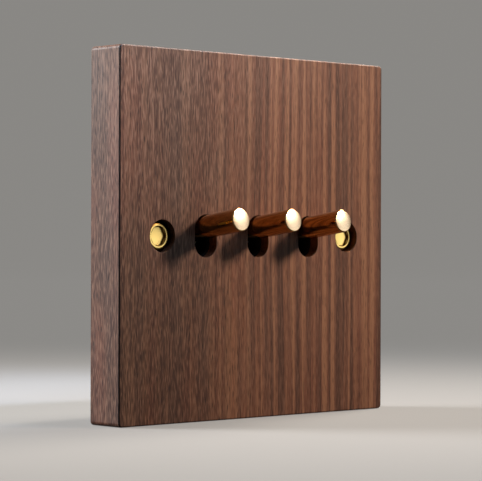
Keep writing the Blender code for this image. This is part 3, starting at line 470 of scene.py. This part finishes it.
def walnut():
    made, tree, surface = material("oiled_walnut", Specular_IOR_Level=0.28)
    place = add(tree, "TexCoord", output="Object")
    sides = [add(tree, "VectorMath", {0: place, 1: (0.0, 0.0, shift)}) for shift in (0.0, 1.0)]
    wander = [stretched(tree, side, WANDER_LENGTHS, 1.0) for side in sides]
    shift = add(tree, "CombineXYZ", {"X": wander[0], "Y": wander[1]})
    reach = (WANDER * MM, WANDER * MM, 0.0)
    grain = add(tree, "VectorMath", {0: shift, 1: reach, 2: place}, operation="MULTIPLY_ADD")

    across = add(tree, "SeparateXYZ", {0: grain}, "X")
    left, right = (edge + WANDER / 2 * MM for edge in (PLATE[0][0], PLATE[1][0]))
    share = add(tree, "MapRange", {"Value": across, "From Min": left, "From Max": right})
    colour = add(tree, "ValToRGB", {"Fac": share}, "Color")
    stops = colour.node.color_ramp.elements
    while len(stops) < len(BOARD_COLOURS):
        stops.new(0.5)
    # A stop is sorted in as soon as it is moved, so all of them are placed before any is coloured
    for stop, position in zip(stops, BOARD_COLOURS):
        stop.position = position
    for stop, code in zip(stops, BOARD_COLOURS.values()):
        stop.color = linear(code)
    openness = add(tree, "MapRange", {"Value": share, "From Min": OPENING[0], "From Max": OPENING[1]})

    layers = {
        name: stretched(tree, grain, (width, through, length), detail)
        for name, (width, through, length, detail) in GRAIN_LAYERS.items()
    }
    for name, start, full, tint, low, high in GRAIN_TINTS:
        strength = add(tree, "MapRange", {"Value": openness, "To Min": low, "To Max": high})
        amount = add(tree, "MapRange", {"Value": layers[name], "From Min": start, "From Max": full})
        amount = add(tree, "Math", {0: amount, 1: strength}, operation="MULTIPLY")
        colour = add(tree, "Mix", {0: amount, 6: colour, 7: linear(tint)}, 2, data_type="RGBA")

    spacing = (1 / (PORES[0] * MM), 1 / (PORES[0] * MM), 1 / (PORES[1] * MM))
    cells = add(tree, "VectorMath", {0: grain, 1: spacing}, operation="MULTIPLY")
    near_pore = add(tree, "TexVoronoi", {"Vector": cells, "Scale": 1.0}, "Distance")
    pore = add(tree, "MapRange", {"Value": near_pore, "From Min": PORE_EDGE, "From Max": PORE_HEART})
    strength = add(tree, "MapRange", {"Value": openness, "To Min": PORE_LEFT, "To Max": PORE_RIGHT})
    amount = add(tree, "Math", {0: pore, 1: strength}, operation="MULTIPLY")
    colour = add(tree, "Mix", {0: amount, 6: colour, 7: linear(PORE_TINT)}, 2, data_type="RGBA")

    # Painted shade: the upright arrises, where a face turns from X towards Y, are tinted near black, as
    # shade where no lamp reaches them
    facing = add(tree, "TexCoord", output="Normal")
    sideways, forwards = (add(tree, "SeparateXYZ", {0: facing}, axis) for axis in "XY")
    turning = add(tree, "Math", {0: sideways, 1: forwards}, operation="MULTIPLY")
    turning = add(tree, "Math", {0: turning}, operation="ABSOLUTE")
    turn = {"Value": turning, "From Min": TURN_START, "From Max": TURN_FULL, "To Max": ARRIS_SHADE}
    amount = add(tree, "MapRange", turn)
    colour = add(tree, "Mix", {0: amount, 6: colour, 7: linear(ARRIS_SHADE_TINT)}, 2, data_type="RGBA")

    smoothest, roughest = OIL_GLOSS
    streaks = layers["streaks"]
    dullness = {"Value": streaks, "From Min": 0.3, "From Max": 0.7, "To Min": smoothest, "To Max": roughest}
    relief = add(tree, "Math", {0: layers["fibres"], 1: pore}, operation="SUBTRACT")
    feed(surface, {
        "Base Color": colour,
        "Roughness": add(tree, "MapRange", dullness),
        "Normal": add(tree, "Bump", {"Height": relief, "Distance": GRAIN_RELIEF}),
    })
    return made


WALNUT = walnut()
print("walnut:", len(GRAIN_TINTS), "tints over a board of", len(set(BOARD_COLOURS.values())), "colours")

# %% [markdown]
# ## The face plate
# The real plate is cut from a board, routed from behind for the mechanism and its frame, slotted and
# counterbored from the front, and sanded. Its outer front edges have a small arris, and the lips of
# the slots and of the counterbores are only just broken. It could be drawn as one profile, but the
# same steps as in the workshop, a blank and then the cutters, keep every wall where it really is.

# %% Face plate
ARRIS = 0.4 * MM
LIP = 0.12 * MM
CORNER_RADIUS = 1.0 * MM
SLOT_WIDTH, SLOT_HEIGHT = 6.7 * MM, 9.992 * MM
POCKET_FLOOR_Y = -7.5 * MM
POCKET_X, POCKET_Z = 24.7 * MM, 12.5 * MM
REBATE_X, REBATE_Z, REBATE_Y = 36.3 * MM, 28.3 * MM, -1.7 * MM
COUNTERBORE, COUNTERBORE_Y = 7.5 * MM, -3.3 * MM
FIXING_X = 30.15 * MM
FIXING_HOLE = 4.5 * MM
PILOT_X, PILOT_Z, PILOT_END_Y, PILOT = 32.5 * MM, 23.5 * MM, -7.0 * MM, 2.7 * MM
PAST = 1.0 * MM  # how far a cutter runs past a face
(LEFT_X, FRONT_Y, FOOT_Z), (RIGHT_X, BACK_Y, TOP_Z) = PLATE


def face_plate():
    blank = slab((LEFT_X, FRONT_Y, FOOT_Z), (RIGHT_X, BACK_Y, TOP_Z), CORNER_RADIUS, 8)
    eased(blank, ARRIS, 4, lambda middle: middle.y < FRONT_Y + LIP)
    cutters = []
    for gang in GANGS:
        x = JOINTS[f"{gang}_lever_swing"]["pos_m"][0]
        cutters.append(slab(
            (x - SLOT_WIDTH / 2, FRONT_Y - PAST, -SLOT_HEIGHT / 2),
            (x + SLOT_WIDTH / 2, POCKET_FLOOR_Y + PAST, SLOT_HEIGHT / 2), SLOT_WIDTH / 2 - 0.01 * MM, 20,
        ))
    cutters.append(slab((-POCKET_X, POCKET_FLOOR_Y, -POCKET_Z), (POCKET_X, PAST, POCKET_Z), 3.0 * MM))
    cutters.append(slab((-REBATE_X, REBATE_Y, -REBATE_Z), (REBATE_X, PAST, REBATE_Z), 3.3 * MM))
    for x in (-FIXING_X, FIXING_X):
        cutters.append(drill((x, FRONT_Y - PAST, 0), (x, COUNTERBORE_Y, 0), COUNTERBORE, 72))
        cutters.append(drill((x, FRONT_Y, 0), (x, PAST, 0), FIXING_HOLE))
        for z in (-PILOT_Z, PILOT_Z):
            pilot_x = math.copysign(PILOT_X, x)
            cutters.append(drill((pilot_x, PAST, z), (pilot_x, PILOT_END_Y, z), PILOT, 24))
    shape = carved(blank, *cutters)
    inner = RIGHT_X - 2 * ARRIS
    eased(
        shape, LIP, 2,
        lambda middle: middle.y < FRONT_Y + LIP and max(abs(middle.x), abs(middle.z)) < inner,
    )
    return piece("walnut_plate", shape, WALNUT, "face_plate")


plate = face_plate()
print("plate:", len(plate.data.polygons), "faces")

# %% [markdown]
# ## Turned brass
# The levers are turned from brass bar on a lathe and lightly polished, then lacquered. The tool leaves
# rings: concentric on a flat end, round the bar on its side. So the marks follow the distance from the
# axis where the surface faces along it, and the place along the axis elsewhere. Brass mirrors what is
# round it with a warm yellow tint, so most of what is seen on a lever's side is really the walnut.

# %% Brass


def turned_brass(name, colours, gloss, faced, faced_gloss, feed_mm, depth):
    """Brass off a lathe, whose rings are feed_mm apart, far coarser than real ones, so that they show."""
    made, tree, surface = material(name, Metallic=1.0)
    place = add(tree, "TexCoord", output="Object")
    facing = add(tree, "SeparateXYZ", {0: add(tree, "TexCoord", output="Normal")}, "Z")
    facing = add(tree, "Math", {0: facing}, operation="ABSOLUTE")
    flat = add(tree, "MapRange", {"Value": facing, "From Min": 0.985, "From Max": 0.998})
    sideways = add(tree, "VectorMath", {0: place, 1: (1.0, 1.0, 0.0)}, operation="MULTIPLY")
    radius = add(tree, "VectorMath", {0: sideways}, "Value", operation="LENGTH")
    height = add(tree, "SeparateXYZ", {0: place}, "Z")
    along = add(tree, "Mix", {0: flat, 2: height, 3: radius})
    turns = add(tree, "Math", {0: along, 1: 1 / (feed_mm * MM)}, operation="MULTIPLY")
    rings = add(tree, "TexNoise", {"W": turns, "Scale": 1.0, "Detail": 2.0}, noise_dimensions="1D")
    clouds = stretched(tree, place, (2.5, 2.5, 4.0), 3.0)
    mottle = add(tree, "MapRange", {"Value": clouds, "From Min": 0.35, "From Max": 0.70})
    near, far = (linear(code) for code in colours)
    base = add(tree, "Mix", {0: mottle, 6: near, 7: far}, 2, data_type="RGBA")
    haze = add(tree, "Math", {0: rings, 1: clouds}, operation="MULTIPLY")
    smoothest, roughest = gloss
    shine = {"Value": haze, "From Min": 0.12, "From Max": 0.42, "To Min": smoothest, "To Max": roughest}
    smooth = add(tree, "MapRange", shine)
    feed(surface, {
        "Base Color": add(tree, "Mix", {0: flat, 6: base, 7: linear(faced)}, 2, data_type="RGBA"),
        "Roughness": add(tree, "Mix", {0: flat, 2: smooth, 3: faced_gloss}),
        "Normal": add(tree, "Bump", {"Height": rings, "Distance": depth * MM}),
    })
    return made


# Lacquer keeps the levers' sides a deep warm gold; their faced ends are bare, pale and a little matt
LEVER_BRASS = turned_brass(
    "lacquered_turned_brass", ("D4A263", "B8854A"), (0.07, 0.16), "EDDFC4", 0.27, 0.22, 0.0016
)
# The screws are plain brass and duller than the levers. Their sides and shoulders are painted a dark brown:
# painted shade for the dark room that they mirror
SHADE_PAINTED_SCREW_BRASS = turned_brass(
    "plain_turned_brass_with_painted_shade", ("7A5A28", "583E18"), (0.30, 0.44), "FBE18E", 0.30, 0.20, 0.0008
)
print(LEVER_BRASS.name, "and", SHADE_PAINTED_SCREW_BRASS.name)

# %% [markdown]
# ## The levers
# Each one is a plain bar with a flat end, a narrow chamfer, and a thinner tail that is pressed into
# the rocker behind. A turned profile is the whole shape, so it is made as one, about the lever's own
# axis. Its origin is the pivot, which keeps the rings of the finish centred wherever it swings.

# %% Levers
LEVER_RADIUS = 2.7 * MM
LEVER_REACH = 26.57 * MM
LEVER_CHAMFER = 0.2 * MM
LEVER_START = 4.6 * MM
TAIL_RADIUS, TAIL_LENGTH = 1.5 * MM, 4.1 * MM
HALF_THROW = math.radians(8.25)


def lever_place(gang):
    """The pivot, with Z along the lever towards its tip, in its upper position."""
    pivot = Vector(JOINTS[f"{gang}_lever_swing"]["pos_m"])
    towards_tip = Vector((0.0, -math.cos(HALF_THROW), math.sin(HALF_THROW)))
    return Matrix.Translation(pivot) @ towards_tip.to_track_quat("Z", "X").to_matrix().to_4x4()


def lever(gang):
    profile = [
        (0.0, LEVER_REACH),
        (LEVER_RADIUS - LEVER_CHAMFER, LEVER_REACH),
        (LEVER_RADIUS, LEVER_REACH - LEVER_CHAMFER),
        (LEVER_RADIUS, LEVER_START),
        (TAIL_RADIUS, LEVER_START),
        (TAIL_RADIUS, LEVER_START - TAIL_LENGTH),
        (0.0, LEVER_START - TAIL_LENGTH),
    ]
    shape = eased(turned(profile, 96), 0.04 * MM, 2)
    place = lever_place(gang)
    return piece(f"turned_{gang}_lever", shape, LEVER_BRASS, f"{gang}_lever", place)


for gang in GANGS:
    made = lever(gang)
    tip_y = min((made.matrix_world @ vertex.co).y for vertex in made.data.vertices)
    print(made.name, "stands", round((FRONT_Y - tip_y) / MM, 2), "mm out of the plate")

# %% [markdown]
# ## The fixing screws
# Two brass machine screws with tall, round-shouldered heads sit in the counterbores. Their hexagon
# sockets are shallow, with a turned cone at the mouth and a floor that catches the light. The thread
# is a ridge that winds round the shank: each ring of the turned shape gets its radius from how far
# round the thread has come, and the ridge fades out at both ends.

# %% Fixing screws
HEAD_RADIUS, HEAD_HEIGHT = 3.5 * MM, 5.0 * MM
SHANK_RADIUS, SHANK_LENGTH = 2.0 * MM, 14.0 * MM
THREAD_PITCH, THREAD_DEPTH = 0.7 * MM, 0.4 * MM
THREAD_ROWS = 8  # rings of points for each turn of the thread
PLAIN_SHANK = 1.5 * MM
SOCKET_FLATS, SOCKET_DEPTH = 4.0 * MM, 0.7 * MM
DISH_DEPTH, DISH_STEPS = 0.08 * MM, 8
DISH_INSET, DISH_LID = 0.01 * MM, 0.1 * MM
FACE_RADIUS, SHOULDER, SHOULDER_STEPS = 2.65 * MM, 0.9 * MM, 10
HEAD_CHAMFER = 0.3 * MM
MOUTH_RADIUS, MOUTH_CONE = 2.35 * MM, 0.25 * MM


def thread_radius(radius, height, angle):
    """The shank's radius where its thread passes; other parts of the screw stay as they are."""
    start, end = -PLAIN_SHANK, -SHANK_LENGTH + HEAD_CHAMFER
    fade = min(1.0, max(0.0, min(start - height, height - end) / THREAD_PITCH))
    if radius != SHANK_RADIUS:
        return radius
    turn = (height / THREAD_PITCH - angle / (2 * math.pi)) % 1.0
    return radius - fade * THREAD_DEPTH * (1 - abs(2 * turn - 1))


def fixing_screw(side):
    low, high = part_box(f"{side}_fixing_screw")
    x = (low[0] + high[0]) / 2
    seat = Vector((x, low[1] + HEAD_HEIGHT, 0.0))
    rows = round((SHANK_LENGTH - HEAD_CHAMFER) / THREAD_PITCH * THREAD_ROWS)
    shank = [(SHANK_RADIUS, -(SHANK_LENGTH - HEAD_CHAMFER) * row / rows) for row in range(rows + 1)]
    bend = [math.pi / 2 * step / SHOULDER_STEPS for step in range(SHOULDER_STEPS + 1)]
    swell = HEAD_RADIUS - FACE_RADIUS
    shoulder = [
        (FACE_RADIUS + swell * math.sin(a), HEAD_HEIGHT - SHOULDER * (1 - math.cos(a))) for a in bend
    ]
    profile = [
        (0.0, HEAD_HEIGHT),
        *shoulder,
        (HEAD_RADIUS, 0.0),
        *shank,
        (SHANK_RADIUS - HEAD_CHAMFER, -SHANK_LENGTH),
        (0.0, -SHANK_LENGTH),
    ]
    floor = HEAD_HEIGHT - SOCKET_DEPTH
    half_diagonal = SOCKET_FLATS / 2 / math.cos(math.pi / 6)
    above = HEAD_HEIGHT + PAST
    hexagon = turned([(0.0, above), (half_diagonal, above), (half_diagonal, floor), (0.0, floor)], 6)
    bmesh.ops.rotate(hexagon, matrix=Matrix.Rotation(math.pi / 6, 3, "Z"), verts=hexagon.verts)
    rim = SOCKET_FLATS / 2 - DISH_INSET
    shares = [1 - step / DISH_STEPS for step in range(DISH_STEPS)]
    bowl = [(rim * share, floor - DISH_DEPTH * (1 - share**2)) for share in shares]
    lid = floor + DISH_LID
    dish = turned([(0.0, lid), (rim, lid), *bowl, (0.0, floor - DISH_DEPTH)], 72)
    mouth = drill(
        (0, 0, HEAD_HEIGHT + MOUTH_CONE), (0, 0, HEAD_HEIGHT - MOUTH_CONE),
        2 * (MOUTH_RADIUS + MOUTH_CONE), 72, 2 * (MOUTH_RADIUS - MOUTH_CONE),
    )
    shape = carved(turned(profile, 72, thread_radius), hexagon, dish, mouth)
    eased(shape, 0.06 * MM, 2, lambda middle: middle.z > 0)
    place = Matrix.Translation(seat) @ Vector((0, -1, 0)).to_track_quat("Z", "X").to_matrix().to_4x4()
    return piece(
        f"turned_{side}_fixing_screw", shape, SHADE_PAINTED_SCREW_BRASS, f"{side}_fixing_screw", place
    )


for side in ("left", "right"):
    made = fixing_screw(side)
    print(made.name, len(made.data.polygons), "faces")

# %% [markdown]
# ## Plated steel
# The frame is stamped from mild steel sheet, and the small screws are cold-headed. Both are zinc
# plated in a barrel, which leaves a cool silver skin with soft clouds and countless tiny knocks.

# %% Zinc-plated steel


def zinc_plate():
    made, tree, surface = material("zinc_plated_steel", Metallic=1.0)
    place = add(tree, "TexCoord", output="Object")
    clouds = stretched(tree, place, (4.0, 4.0, 4.0), 3.0)
    sway(tree, surface, clouds, ("C3C7CA", "A3A9AE"), (0.26, 0.44), 0.35)
    knocks = stretched(tree, place, (0.35, 0.35, 0.35), 2.0)
    feed(surface, {"Normal": add(tree, "Bump", {"Height": knocks, "Distance": 0.004 * MM})})
    return made


ZINC = zinc_plate()

# %% [markdown]
# ## Pieces with the CAD solid's own shape
# A stamping or a moulding already has its true shape in the CAD frame, but with knife-sharp edges. So
# its mesh is copied, its flat faces are joined up again, and its edges are rounded as the tool leaves
# them: a stamped edge a tenth of a millimetre, a moulded one a little more.

# %% Mounting frame
WELD = 0.002 * MM
FLAT_ANGLE = math.radians(1)


def finished(node, finish, width, steps=2):
    """The CAD solid's shape again, with its edges rounded, as a piece that stands for it."""
    shape = bmesh.new()
    shape.from_mesh(frame["nodes"][node].data)
    bmesh.ops.remove_doubles(shape, verts=shape.verts, dist=WELD)
    bmesh.ops.dissolve_limit(shape, angle_limit=FLAT_ANGLE, verts=shape.verts, edges=shape.edges)
    eased(shape, width, steps)
    return piece(f"finished_{node}", shape, finish, node)


steel_frame = finished("mounting_frame", ZINC, 0.1 * MM)
finished("pivot_shaft", ZINC, 0.1 * MM)
print(steel_frame.name, len(steel_frame.data.polygons), "faces")

# %% [markdown]
# ## Small screws
# All the small screws are slotted: countersunk ones hold the frame and the housing, and cheese-head
# ones the base and the wires. Each is turned again from the size of its CAD box. Nobody lines up the
# slots, so each one stops at its own angle.

# %% Small screws
SLOT_CUT, SLOT_DEPTH = 0.6 * MM, 0.7 * MM
SLOT_TURN = math.radians(47)  # from one screw to the next
POINT = 0.3 * MM
UNDER_HEAD = 0.01 * MM  # keeps the two rings under a head apart


def small_screw(node, shank_radius, head_height, countersunk, outward, turn):
    low, high = (Vector(corner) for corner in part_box(node))
    middle = (low + high) / 2
    radius, length = (high.x - low.x) / 2, high.y - low.y
    under_head = shank_radius if countersunk else radius
    profile = [
        (0.0, 0.0),
        (radius, 0.0),
        (under_head, -head_height),
        (shank_radius, -head_height - UNDER_HEAD),
        (shank_radius, POINT - length),
        (shank_radius - POINT, -length),
        (0.0, -length),
    ]
    slot = slab((-radius - PAST, -SLOT_CUT / 2, -SLOT_DEPTH), (radius + PAST, SLOT_CUT / 2, PAST))
    shape = eased(carved(turned(profile, 40), slot), 0.05 * MM)
    face = Vector((middle.x, high.y if outward > 0 else low.y, middle.z))
    aim = Vector((0, outward, 0)).to_track_quat("Z", "X").to_matrix().to_4x4()
    place = Matrix.Translation(face) @ aim @ Matrix.Rotation(turn, 4, "Z")
    return piece(f"turned_{node}", shape, ZINC, node, place)


screws = [(f"frame_screw_{corner}", 1.1 * MM, 0.9 * MM, True, 1) for corner in CORNERS]
screws += [(f"housing_screw_{corner}", 1.0 * MM, 0.9 * MM, True, -1) for corner in CORNERS]
screws += [(f"base_screw_{corner}", 1.0 * MM, 1.3 * MM, False, 1) for corner in CORNERS]
screws += [
    (f"{gang}_{terminal}_terminal_screw", 1.25 * MM, 1.6 * MM, False, 1)
    for gang in GANGS for terminal in TERMINALS
]
for count, settings in enumerate(screws):
    small_screw(*settings, SLOT_TURN * count)
print(len(screws), "small screws")

# %% [markdown]
# ## Black mouldings
# The housing and the terminal base are injection moulded in glass-filled nylon, which keeps its size
# when it gets warm. The mould is spark eroded, so the skin has a fine even grain, and the glass makes
# it a dull black with a faint sheen instead of a gloss.

# %% Housing and base


def glass_filled_nylon():
    made, tree, surface = material("black_glass_filled_nylon")
    place = add(tree, "TexCoord", output="Object")
    flow = stretched(tree, place, (6.0, 6.0, 14.0), 2.0)
    sway(tree, surface, flow, ("1E1E1F", "242424"), (0.42, 0.56))
    # The grain is drawn at 0.3 mm, about twice as coarse as the real one
    grain = stretched(tree, place, (0.3, 0.3, 0.3), 2.0)
    feed(surface, {"Normal": add(tree, "Bump", {"Height": grain, "Distance": 0.012 * MM})})
    return made


NYLON = glass_filled_nylon()
housing = finished("front_housing", NYLON, 0.12 * MM)
base = finished("terminal_base", NYLON, 0.12 * MM)
for made in (housing, base):
    print(made.name, len(made.data.polygons), "faces")

# %% [markdown]
# ## Rockers and plungers
# White acetal is stiff, springy and slippery, so it makes the pieces that rub. It is moulded against
# polished steel: a milky white with a soft, slightly waxy gloss. The plunger is a turned shape, so it
# is turned again with more steps; the rocker keeps its CAD shape with eased edges.

# %% Rockers and plungers
PLUNGER_RADIUS, PLUNGER_START, PLUNGER_TIP = 1.5 * MM, 3.2 * MM, 8.3 * MM
CUP_RADIUS, CUP_FLOOR = 1.0 * MM, 6.9 * MM
DOME_STEPS = 12


def acetal():
    made, tree, surface = material("white_acetal", Subsurface_Weight=0.15, Subsurface_Scale=0.5 * MM)
    place = add(tree, "TexCoord", output="Object")
    flow = stretched(tree, place, (3.0, 6.0, 3.0), 2.0)
    sway(tree, surface, flow, ("E6E3DA", "D8D4C8"), (0.26, 0.38))
    waves = stretched(tree, place, (0.8, 0.8, 0.8), 2.0)
    feed(surface, {"Normal": add(tree, "Bump", {"Height": waves, "Distance": 0.004 * MM})})
    return made


ACETAL = acetal()


def behind_pivot(gang):
    """The pivot, with Z along the lever's axis away from its tip, in its upper position."""
    return lever_place(gang) @ Matrix.Rotation(math.pi, 4, "X")


def plunger(gang):
    bend = [math.pi / 2 * step / DOME_STEPS for step in range(DOME_STEPS + 1)]
    dome = [
        (PLUNGER_RADIUS * math.sin(a), PLUNGER_TIP - PLUNGER_RADIUS * (1 - math.cos(a))) for a in bend
    ]
    profile = [
        *dome, (PLUNGER_RADIUS, PLUNGER_START), (CUP_RADIUS, PLUNGER_START), (CUP_RADIUS, CUP_FLOOR),
        (0.0, CUP_FLOOR),
    ]
    shape = eased(turned(profile, 48), 0.08 * MM)
    place = behind_pivot(gang)
    return piece(f"turned_{gang}_plunger", shape, ACETAL, f"{gang}_plunger", place)


for gang in GANGS:
    finished(f"{gang}_rocker", ACETAL, 0.12 * MM)
    made = plunger(gang)
print(made.name, len(made.data.polygons), "faces")

# %% [markdown]
# ## Plunger springs
# Each spring is cold-drawn steel wire wound into a coil whose end turns lie close together. The wire
# is swept round a helix point by point.

# %% Springs
COIL_RADIUS, WIRE_RADIUS = 0.75 * MM, 0.15 * MM
COIL_START, COIL_END, COIL_TURNS = 2.5 * MM, 6.6 * MM, 6
WIRE_STEPS, WIRE_SIDES = 20, 10
CLOSED_ENDS = 0.55  # how much tighter the end turns are than the middle ones


def drawn_wire():
    made, tree, surface = material("drawn_spring_steel", Metallic=1.0)
    place = add(tree, "TexCoord", output="Object")
    marks = stretched(tree, place, (0.5, 0.5, 0.12), 2.0)
    sway(tree, surface, marks, ("A2A5A8", "7E8286"), (0.20, 0.34))
    feed(surface, {"Normal": add(tree, "Bump", {"Height": marks, "Distance": 0.002 * MM})})
    return made


WIRE = drawn_wire()


def coil_point(share):
    """A point on the coil's middle line, from its fixed end, 0, to its moving end, 1."""
    angle = 2 * math.pi * COIL_TURNS * share
    climb = share - CLOSED_ENDS * math.sin(2 * math.pi * share) / (2 * math.pi)
    height = COIL_START + (COIL_END - COIL_START) * climb
    return Vector((COIL_RADIUS * math.cos(angle), COIL_RADIUS * math.sin(angle), height))


def spring(gang):
    shape = bmesh.new()
    count = COIL_TURNS * WIRE_STEPS
    rings = []
    for i in range(count + 1):
        here = coil_point(i / count)
        outwards = Vector((here.x, here.y, 0.0)).normalized()
        along = (coil_point((i + 1) / count) - coil_point((i - 1) / count)).normalized()
        sideways = along.cross(outwards)
        ring = []
        for side in range(WIRE_SIDES):
            a = 2 * math.pi * side / WIRE_SIDES
            away = outwards * math.cos(a) + sideways * math.sin(a)
            ring.append(shape.verts.new(here + WIRE_RADIUS * away))
        rings.append(ring)
    for near, far in zip(rings, rings[1:]):
        for side in range(WIRE_SIDES):
            after = (side + 1) % WIRE_SIDES
            shape.faces.new((near[side], near[after], far[after], far[side]))
    for cap in (rings[0], rings[-1]):
        shape.faces.new(cap)
    place = behind_pivot(gang)
    made = piece(
        f"wound_{gang}_plunger_spring", shape, WIRE, f"{gang}_plunger_spring", place,
        weighted=False,
    )
    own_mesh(made)
    return made


for gang in GANGS:
    made = spring(gang)
print(made.name, len(made.data.polygons), "faces")

# %% [markdown]
# ## Contacts
# The blades and the fixed contacts are stamped from rolled brass strip, and the buttons are pressed
# on. Rolling leaves fine lines along the strip and a paler, greener yellow than a polished bar. They
# are small and deep inside, so their CAD shapes with eased edges are enough.

# %% Contacts


def rolled_brass():
    made, tree, surface = material("rolled_contact_brass", Metallic=1.0)
    place = add(tree, "TexCoord", output="Object")
    lines = stretched(tree, place, (0.12, 0.12, 8.0), 2.0)
    sway(tree, surface, lines, ("D2B36A", "B39350"), (0.26, 0.42))
    feed(surface, {"Normal": add(tree, "Bump", {"Height": lines, "Distance": 0.003 * MM})})
    return made


CONTACT_BRASS = rolled_brass()
for gang in GANGS:
    finished(f"{gang}_contact_blade", CONTACT_BRASS, 0.06 * MM)
    for terminal in TERMINALS:
        made = finished(f"{gang}_{terminal}_contact", CONTACT_BRASS, 0.06 * MM)
print(made.name, len(made.data.polygons), "faces")
